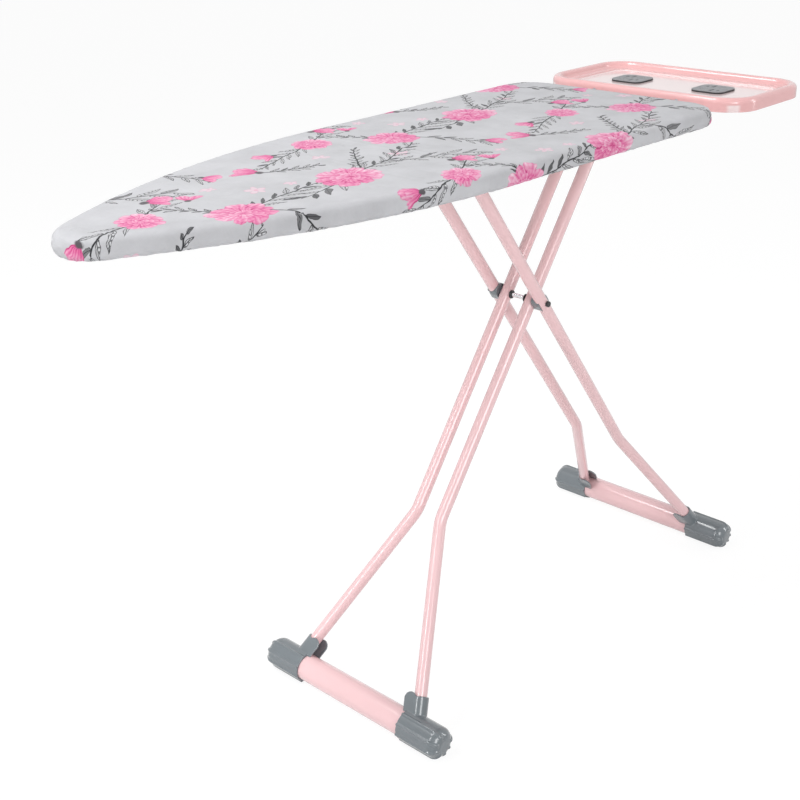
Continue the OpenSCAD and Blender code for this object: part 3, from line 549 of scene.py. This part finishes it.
class Rim:
    """The outline of the board in plan, and places measured from it."""

    def __init__(self, node):
        flat = sorted({(round(v.co.x, 5), round(v.co.y, 5))
                       for v in nodes[node].data.vertices})
        ring = np.array([flat[i] for i in convex_hull_2d([Vector(p) for p in flat])])
        step = np.roll(ring, -1, 0) - ring
        far = np.hypot(*step.T)
        run = np.concatenate([[0], np.cumsum(far)])
        self.length = run[-1]
        ticks = np.linspace(0, run[-1], 900, endpoint=False)
        closed = np.vstack([ring, ring[:1]])
        p = np.stack([np.interp(ticks, run, closed[:, k]) for k in (0, 1)], 1)
        for _ in range(6):
            p = 0.5 * p + 0.25 * (np.roll(p, 1, 0) + np.roll(p, -1, 0))
        t = np.roll(p, -1, 0) - np.roll(p, 1, 0)
        n = np.stack([t[:, 1], -t[:, 0]], 1)
        self.p = p
        self.n = n / np.linalg.norm(n, axis=1)[:, None]
        self.run = ticks

    def near(self, xy):
        """For plan points: depth inside the outline, nearest index."""
        best = np.full(len(xy), 1e9)
        which = np.zeros(len(xy), int)
        for a in range(0, len(self.p), 60):
            d = np.linalg.norm(xy[:, None] - self.p[None, a:a + 60], axis=2)
            k = d.argmin(1)
            m = d[np.arange(len(xy)), k]
            hit = m < best
            best[hit], which[hit] = m[hit], k[hit] + a
        signed = ((self.p[which] - xy) * self.n[which]).sum(1)
        return signed, which

    def ring(self, inset, step=1):
        return (self.p - self.n * inset)[::step]

    def slab(self, inset, z0, z1, top_r, low_r, step=6):
        """A closed board-shaped slab with both its edges rounded."""
        bm = bmesh.new()
        low = [bm.verts.new((x, y, z0)) for x, y in self.ring(inset, step)]
        base = bm.faces.new(low)
        grown = bmesh.ops.extrude_face_region(bm, geom=[base])["geom"]
        up = [v for v in grown if isinstance(v, bmesh.types.BMVert)]
        bmesh.ops.translate(bm, verts=up, vec=(0, 0, z1 - z0))
        for z, r in ((z1, top_r), (z0, low_r)):
            edge = [e for e in bm.edges
                    if all(abs(v.co.z - z) < 1e-6 for v in e.verts)]
            bmesh.ops.bevel(bm, geom=edge, offset=r, segments=4,
                            profile=0.5, affect="EDGES", material=-1)
        bmesh.ops.recalc_face_normals(bm, faces=bm.faces)
        return bm


rim = Rim("cover")
cover_low, cover_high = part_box("cover")
felt_low, felt_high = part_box("felt_pad")

HEM = 0.030  # how far the hem is turned in
TOP_R, LOW_R = 0.011, 0.009  # rounding of the cover's upper and lower edge
EVEN = 0.0045  # spacing of the points of the cloth
FRAMES = 24  # for the cloth to settle in
MOST_MOVE = 0.004  # the farthest that the cloth may go while it settles


def flat_places(co):
    """Where each point of the cover lies on the flat cut cloth."""
    depth, k = rim.near(co[:, :2])
    z1, z0 = cover_high.z, cover_low.z
    down = z1 - co[:, 2]
    wall = z1 - z0 - TOP_R - LOW_R
    bend = TOP_R * math.pi / 2
    up_angle = np.arctan2(np.clip(TOP_R - depth, 0, None),
                          np.clip(TOP_R - down, 1e-6, None))
    low_angle = np.arctan2(np.clip(down - (z1 - z0 - LOW_R), 0, None),
                           np.clip(LOW_R - depth, 1e-6, None))
    run = np.where(down < TOP_R, TOP_R * up_angle,
                   bend + np.clip(down - TOP_R, 0, wall) + LOW_R * low_angle)
    under = (down > z1 - z0 - LOW_R) & (depth > LOW_R)
    run = np.where(under, bend + wall + LOW_R * math.pi / 2 + depth - LOW_R, run)
    edge = rim.p[k] + rim.n[k] * (run - TOP_R)[:, None]
    inner = (depth >= TOP_R) & (down < (z1 - z0) / 2)
    return np.where(inner[:, None], co[:, :2], edge)


def cover_shell():
    """The cover before it settles: top, wall and turned-in hem."""
    bm = rim.slab(0.0006, cover_low.z + 0.0005, cover_high.z - 0.0004, TOP_R, LOW_R)
    mesh = bpy.data.meshes.new("shell")
    bm.to_mesh(mesh)
    bm.free()
    o = bpy.data.objects.new("cover_cloth", mesh)
    scene.collection.objects.link(o)
    m = o.modifiers.new("even", "REMESH")
    m.mode, m.voxel_size, m.adaptivity = "VOXEL", EVEN, 0
    bake_modifiers(o)
    bm = bmesh.new()
    bm.from_mesh(o.data)
    bmesh.ops.smooth_vert(bm, verts=bm.verts, factor=0.5, use_axis_x=True,
                          use_axis_y=True, use_axis_z=True)
    bm.verts.ensure_lookup_table()
    co = np.array([v.co for v in bm.verts])
    depth, _ = rim.near(co[:, :2])
    under = co[:, 2] < (cover_high.z + cover_low.z) / 2
    gone = [v for v, d, u in zip(bm.verts, depth, under) if u and d > HEM]
    bmesh.ops.delete(bm, geom=gone, context="VERTS")
    loose = [v for v in bm.verts if not v.link_faces]
    bmesh.ops.delete(bm, geom=loose, context="VERTS")
    border = [v for v in bm.verts if v.is_boundary]
    xy = np.array([v.co[:2] for v in border])
    depth, k = rim.near(xy)
    for v, d, i in zip(border, depth, k):
        shift = rim.n[i] * (d - HEM)
        v.co.x += shift[0]
        v.co.y += shift[1]
    bm.to_mesh(o.data)
    bm.free()
    return o


def gathers(co, depth, k):
    """Puckers of the drawn hem: deep at its inner edge, fading up the wall."""
    s = rim.run[k]
    total = rim.length
    waves = sum(a * np.sin(2 * math.pi * n * s / total + ph)
                for n, a, ph in ((181, 0.6, 0.3), (137, 0.5, 1.9), (83, 0.45, 4.1),
                                 (311, 0.25, 2.2)))
    down = cover_high.z - co[:, 2]
    under = (down > 0.018) & (depth > -0.001)
    inner = np.clip(depth / HEM, 0, 1) * under
    wall = np.clip((down - 0.006) / 0.02, 0, 1) * (depth < 0.004)
    tight = 1 + 0.9 * np.exp(-((co[:, 0] - cover_low.x) / 0.09) ** 2)
    return waves * tight, inner, wall


def settle(o):
    """Draws the hem in and lets the cloth settle on the pad and the rim."""
    rest = points_of(o.data)
    depth, k = rim.near(rest[:, :2])
    waves, inner, wall = gathers(rest, depth, k)
    start = rest.copy()
    start[:, 2] += waves * inner * 0.0007
    start[:, :2] += rim.n[k] * ((waves + 1.3) * wall * 0.00035)[:, None]
    o.data.vertices.foreach_set("co", start.ravel())
    form = bpy.data.objects.new("form", bpy.data.meshes.new("form"))
    bm = rim.slab(0.0022, cover_low.z + 0.0024, cover_high.z - 0.0016,
                  TOP_R - 0.001, LOW_R - 0.001, step=4)
    bm.to_mesh(form.data)
    bm.free()
    scene.collection.objects.link(form)
    form.modifiers.new("form", "COLLISION")
    form.collision.thickness_outer = 0.0008
    form.collision.cloth_friction = 12
    drawn = o.vertex_groups.new(name="drawn")
    held = o.vertex_groups.new(name="held")
    for i in range(len(rest)):
        drawn.add([i], float(max(inner[i], 0.35 * wall[i])), "REPLACE")
        if inner[i] > 0.93:
            held.add([i], 1.0, "REPLACE")
    m = o.modifiers.new("settle", "CLOTH")
    s = m.settings
    s.quality, s.mass = 6, 0.25
    s.tension_stiffness = s.compression_stiffness = 12
    s.shear_stiffness, s.bending_stiffness = 6, 0.35
    s.vertex_group_mass = "held"
    s.vertex_group_shrink = "drawn"
    s.shrink_min, s.shrink_max = -0.006, -0.035
    m.collision_settings.distance_min = 0.0008
    m.point_cache.frame_start, m.point_cache.frame_end = 1, FRAMES
    scene.frame_start, scene.frame_end = 1, FRAMES
    for n in range(1, FRAMES + 1):
        scene.frame_set(n)
    bake_modifiers(o)
    scene.frame_set(1)
    bpy.data.objects.remove(form)
    settled = points_of(o.data)
    move = settled - start
    far = np.linalg.norm(move, axis=1)
    move *= np.minimum(1, MOST_MOVE / np.maximum(far, 1e-9))[:, None]
    start = start + move
    start[:, 2] = np.clip(start[:, 2], cover_low.z + 0.0002, cover_high.z + 0.003)
    o.data.vertices.foreach_set("co", start.ravel())
    o.vertex_groups.clear()
    o.data.update()
    return rest


def make_cover():
    o = cover_shell()
    rest = settle(o)
    flat = flat_places(rest)
    layer = o.data.uv_layers.new(name="flat_cloth")
    corner = np.zeros(len(o.data.loops), int)
    o.data.loops.foreach_get("vertex_index", corner)
    layer.data.foreach_set("uv", flat[corner].ravel())
    m = o.modifiers.new("thickness", "SOLIDIFY")
    m.thickness, m.offset, m.use_even_offset = 0.0009, -1, True
    bake_modifiers(o)
    owned(o, cotton(), "board", ["cover"])
    return o


cover = make_cover()


def make_pad():
    """The felt laid on the deck, chamfered round where the cover bends down."""
    return rim.slab(0.0062, felt_low.z + 0.0001, felt_high.z - 0.0003,
                    0.0048, 0.0003, step=3)


felt = felt_finish()
pad = piece("felt_underlay", make_pad(), felt, "board", ["felt_pad"])


# ------------------------------------------------------------ the CAD nodes

pad_low, pad_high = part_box("left_rest_pad")
tray_low, tray_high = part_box("iron_rest")
tray_middle = (tray_low + tray_high) / 2
reflection_field = (tray_high - tray_low) / 2.12
finishes = {
    "pink_paint": paint("pink_coat", (0.875, 0.585, 0.60), (0.95, 0.80, 0.80)),
    # The tray's floor is painted paler: painted reflection, not a second paint.
    "rest_paint": paint("tray_coat", (0.83, 0.46, 0.46), (0.94, 0.80, 0.79),
                        pale=((0.91, 0.74, 0.74), pad_low.z + 0.0018,
                              tray_middle, reflection_field)),
    "felt": felt,
    "deck_steel": deck_finish(),
    "zinc": metal("zinc_plate", (0.62, 0.63, 0.66), 0.34, 1.0),
    "chrome": metal("chrome", (0.80, 0.81, 0.83), 0.12),
    "black_rubber": moulded("black_rubber", (0.025, 0.025, 0.027), 0.7, 900,
                            0.0001, 0.3),
    "black_plastic": moulded("black_plastic", (0.03, 0.03, 0.033), 0.42),
    # The iron pads' slots are darkened by height: painted shade in the recesses.
    "grey_rubber": moulded("grey_rubber", (0.28, 0.287, 0.30), 0.5, 900,
                           0.00006, 0.4, painted_shade_below=pad_high.z - 0.0009),
    "grey_plastic": moulded("grey_plastic", (0.155, 0.18, 0.197), 0.24, 500,
                            0.000015, 0.5, 1.0),
    "white_plastic": moulded("white_plastic", (0.74, 0.74, 0.72), 0.4),
    "cover_cloth": cover.data.materials[0],
}
slots = {s["node"]: s["material_slot"] for s in record["subparts"]}
for name, o in nodes.items():
    o.data.materials.clear()
    o.data.materials.append(finishes[slots[name]])


# ---------------------------------------------------------- moulded pieces

home = {n: b for b, own in record["behaviour"]["bodies"].items() for n in own}


def softened(name, node, voxel, passes):
    """A moulded piece: the node's own shape with its edges run round."""
    mesh = nodes[node].data.copy()
    mesh.name = name
    bm = bmesh.new()
    bm.from_mesh(mesh)
    bmesh.ops.remove_doubles(bm, verts=bm.verts, dist=1e-6)
    bm.to_mesh(mesh)
    bm.free()
    o = bpy.data.objects.new(name, mesh)
    scene.collection.objects.link(o)
    m = o.modifiers.new("even", "REMESH")
    m.mode, m.voxel_size, m.adaptivity = "VOXEL", voxel, 0
    m = o.modifiers.new("soften", "SMOOTH")
    m.factor, m.iterations = 0.5, passes
    bake_modifiers(o)
    co = points_of(o.data)
    co[:, 2] = np.maximum(co[:, 2], 0)
    o.data.vertices.foreach_set("co", co.ravel())
    o.data.update()
    return owned(o, finishes[slots[node]], home[node], [node])


for end in ("front", "rear"):
    for side in ("left", "right"):
        foot = end + "_" + side + "_foot"
        softened(foot, foot + "_cap", 0.0009, 2)
for side in ("left", "right"):
    softened(side + "_iron_pad", side + "_rest_pad", 0.0005, 1)
    softened(side + "_saddle", side + "_leg_saddle", 0.0005, 2)
softened("grip", "lever_grip", 0.0006, 3)


# ------------------------------------------------------- light, floor, camera


FLOOR_GLOW, FLOOR_SEEN, FLOOR_SHINE = 1.09, 0.83, 0.35
AMBIENT, ROOM_SHINE = 0.40, 0.8
LAMPS = (  # name, place, aim, width, height, power
    ("overhead", (-0.9, 1.0, 3.3), (0.1, 0, 0.4), 1.4, 1.4, 47),
    ("left_strip", (-2.9, 0.6, 1.7), (0, 0, 0.6), 0.30, 2.6, 34),
    ("front", (-1.6, -3.2, 1.9), (0, 0, 0.5), 1.4, 1.8, 44),
    ("right_strip", (2.4, -2.6, 1.5), (0, 0, 0.6), 0.30, 2.4, 22),
)


def lamp(name, at, aim, wide, high, power):
    light = bpy.data.lights.new(name, "AREA")
    light.shape, light.energy = "RECTANGLE", power
    light.size, light.size_y = wide, high
    o = bpy.data.objects.new(name, light)
    scene.collection.objects.link(o)
    o.location = at
    way = Vector(aim) - Vector(at)
    o.rotation_euler = way.to_track_quat("-Z", "Y").to_euler()


def studio():
    """A white paper floor, a white room and the lamps."""
    bpy.ops.mesh.primitive_plane_add(size=60, location=(0, 0, 0))
    floor = bpy.context.object
    floor.name = "studio_floor"
    f = Finish("studio_paper", (0.82, 0.82, 0.82), 0.9)
    out = f.tree.nodes["Material Output"]
    ray = f.tree.nodes.new("ShaderNodeLightPath")
    seen = Val(f.tree, ray.outputs["Is Camera Ray"])
    shine = Val(f.tree, ray.outputs["Is Glossy Ray"])
    glow = f.tree.nodes.new("ShaderNodeEmission")
    glow.inputs["Color"].default_value = (1, 1, 1, 1)
    glow.inputs["Strength"].default_value = FLOOR_GLOW
    mix = f.tree.nodes.new("ShaderNodeMixShader")
    feed(f.tree, mix.inputs[0], (seen * FLOOR_SEEN).most(shine * FLOOR_SHINE))
    f.tree.links.new(f.shader.outputs[0], mix.inputs[1])
    f.tree.links.new(glow.outputs[0], mix.inputs[2])
    f.tree.links.new(mix.outputs[0], out.inputs["Surface"])
    f.set(Roughness=f.cloud(f.place(), 0.5).madd(0.1, 0.85))
    floor.data.materials.append(f.mat)

    world = bpy.data.worlds.new("studio")
    scene.world = world
    world.use_nodes = True
    tree = world.node_tree
    back = tree.nodes["Background"]
    path = tree.nodes.new("ShaderNodeLightPath")
    white = Val(tree, path.outputs["Is Camera Ray"]).most(
        Val(tree, path.outputs["Is Glossy Ray"]) * ROOM_SHINE)
    white = white.most(Val(tree, path.outputs["Is Transmission Ray"]))
    feed(tree, back.inputs["Color"], (1, 1, 1, 1))
    feed(tree, back.inputs["Strength"], white.madd(1 - AMBIENT, AMBIENT))

    for row in LAMPS:
        lamp(*row)


def camera():
    """Looks down on the board from in front of its nose, on its right."""
    data = bpy.data.cameras.new("camera")
    data.lens, data.sensor_width = 55.9845, 36
    data.shift_x, data.shift_y = -0.05, 0
    o = bpy.data.objects.new("camera", data)
    scene.collection.objects.link(o)
    yaw, pitch, roll = 0.839, 0.422, -0.014
    ahead = Vector((math.sin(yaw) * math.cos(pitch), math.cos(yaw) * math.cos(pitch),
                    -math.sin(pitch)))
    right = Vector((math.cos(yaw), -math.sin(yaw), 0))
    up = right.cross(ahead)
    right, up = (right * math.cos(roll) + up * math.sin(roll),
                 up * math.cos(roll) - right * math.sin(roll))
    turn = Matrix((right, up, -ahead)).transposed().to_4x4()
    o.matrix_world = Matrix.Translation((-1.5158, -1.2998, 1.3850)) @ turn
    data.clip_start, data.clip_end = 0.05, 100
    scene.camera = o


studio()
camera()
scene.view_settings.view_transform = "Standard"
